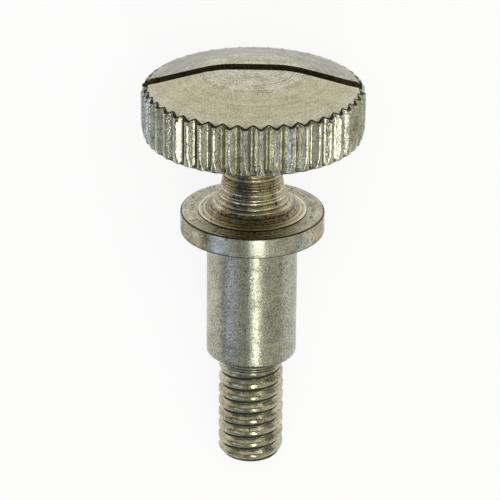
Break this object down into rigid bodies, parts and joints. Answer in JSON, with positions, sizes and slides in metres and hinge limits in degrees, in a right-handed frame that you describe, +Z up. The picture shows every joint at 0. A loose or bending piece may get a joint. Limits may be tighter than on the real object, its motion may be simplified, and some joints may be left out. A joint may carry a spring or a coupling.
{
  "type": "thumb screw",
  "caption": "Turned metal thumb screw: knurled, slotted head on a hollow waist, a collar, a plain shoulder and a threaded end.",
  "frame": {"origin": "on the floor under the middle of the screw as it lies, at the bottom centre of its box", "axes": "+Y along the floor from the screw's tip to its head, +Z up, +X across the screw; the screw's own axis lies in the YZ plane and rises 12.2 degrees from the tip to the head"},
  "size_m": [0.021, 0.0404, 0.0212],
  "materials": {
    "plated_metal": "turned steel with an old, slightly yellowed nickel plating, worn dull in places"
  },
  "bodies": {
    "root": {"thumb_screw": "plated_metal"}
  },
  "joints": []
}
